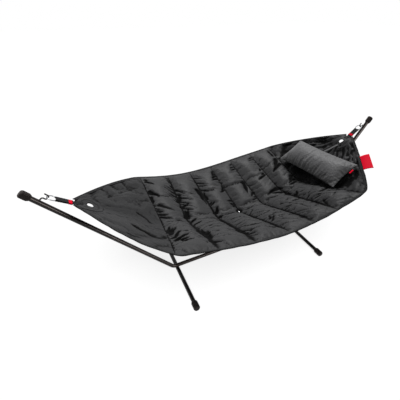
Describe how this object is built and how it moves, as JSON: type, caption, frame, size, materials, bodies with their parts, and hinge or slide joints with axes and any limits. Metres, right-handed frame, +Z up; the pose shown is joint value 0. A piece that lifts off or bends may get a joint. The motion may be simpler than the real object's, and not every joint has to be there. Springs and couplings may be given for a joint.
{
  "type": "hammock on stand",
  "caption": "Quilted fabric hammock hung by rings and straps from two hooked arms of a plug-together tube stand, with a headrest pillow held by a strap.",
  "frame": {"origin": "on the floor, under the middle of the stand", "axes": "+X along the hammock towards the pillow end, +Y to its rear side, +Z up"},
  "size_m": [3.3358, 1.43, 1.231],
  "materials": {
    "tube_paint": "satin",
    "hook_paint": "satin",
    "cap_rubber": "matte",
    "spring_steel": "satin",
    "ring_steel": "polished",
    "quilt_cloth": "satin",
    "panel_cloth": "satin",
    "hem_tape": "matte",
    "pillow_cloth": "satin",
    "webbing": "matte",
    "red_tag": "satin",
    "eyelet_metal": "satin"
  },
  "bodies": {
    "stand": {"base_tube": "tube_paint", "left_arm": "tube_paint", "left_arm_cap": "cap_rubber", "left_elbow": "tube_paint", "left_front_foot": "cap_rubber", "left_hook": "hook_paint", "left_leg": "tube_paint", "left_rear_foot": "cap_rubber", "right_arm": "tube_paint", "right_arm_cap": "cap_rubber", "right_elbow": "tube_paint", "right_front_foot": "cap_rubber", "right_hook": "hook_paint", "right_leg": "tube_paint", "right_rear_foot": "cap_rubber"},
    "sling": {"drain_eyelet": "eyelet_metal", "front_hem": "hem_tape", "left_end_panel": "panel_cloth", "left_keeper": "red_tag", "left_patch": "panel_cloth", "left_ring": "ring_steel", "left_strap": "webbing", "quilt_channel_1": "quilt_cloth", "quilt_channel_2": "quilt_cloth", "quilt_channel_3": "quilt_cloth", "quilt_channel_4": "quilt_cloth", "quilt_channel_5": "quilt_cloth", "quilt_channel_6": "quilt_cloth", "rear_hem": "hem_tape", "right_end_panel": "panel_cloth", "right_keeper": "red_tag", "right_patch": "panel_cloth", "right_ring": "ring_steel", "right_strap": "webbing", "side_label": "red_tag"},
    "pillow": {"pillow": "pillow_cloth", "pillow_label": "red_tag", "pillow_strap": "webbing"},
    "left_arm_lock": {"left_arm_button": "spring_steel"},
    "left_base_lock": {"left_base_button": "spring_steel"},
    "right_arm_lock": {"right_arm_button": "spring_steel"},
    "right_base_lock": {"right_base_button": "spring_steel"}
  },
  "joints": [
    {"name": "sway", "type": "hinge", "parent": "stand", "child": "sling", "pos_m": [0, 0, 1.1385], "axis": [1, 0, 0], "range_deg": [-25, 25]},
    {"name": "pillow_lift", "type": "hinge", "parent": "sling", "child": "pillow", "pos_m": [1.28, 0, 0.9917], "axis": [0, 1, 0], "range_deg": [0, 55]},
    {"name": "left_arm_press", "type": "slide", "parent": "stand", "child": "left_arm_lock", "axis": [0, 1, 0], "range_m": [-0.0055, 0], "stiffness_N_per_m": 800},
    {"name": "left_base_press", "type": "slide", "parent": "stand", "child": "left_base_lock", "axis": [0, 1, 0], "range_m": [-0.0055, 0], "stiffness_N_per_m": 800},
    {"name": "right_arm_press", "type": "slide", "parent": "stand", "child": "right_arm_lock", "axis": [0, 1, 0], "range_m": [-0.0055, 0], "stiffness_N_per_m": 800},
    {"name": "right_base_press", "type": "slide", "parent": "stand", "child": "right_base_lock", "axis": [0, 1, 0], "range_m": [-0.0055, 0], "stiffness_N_per_m": 800}
  ]
}
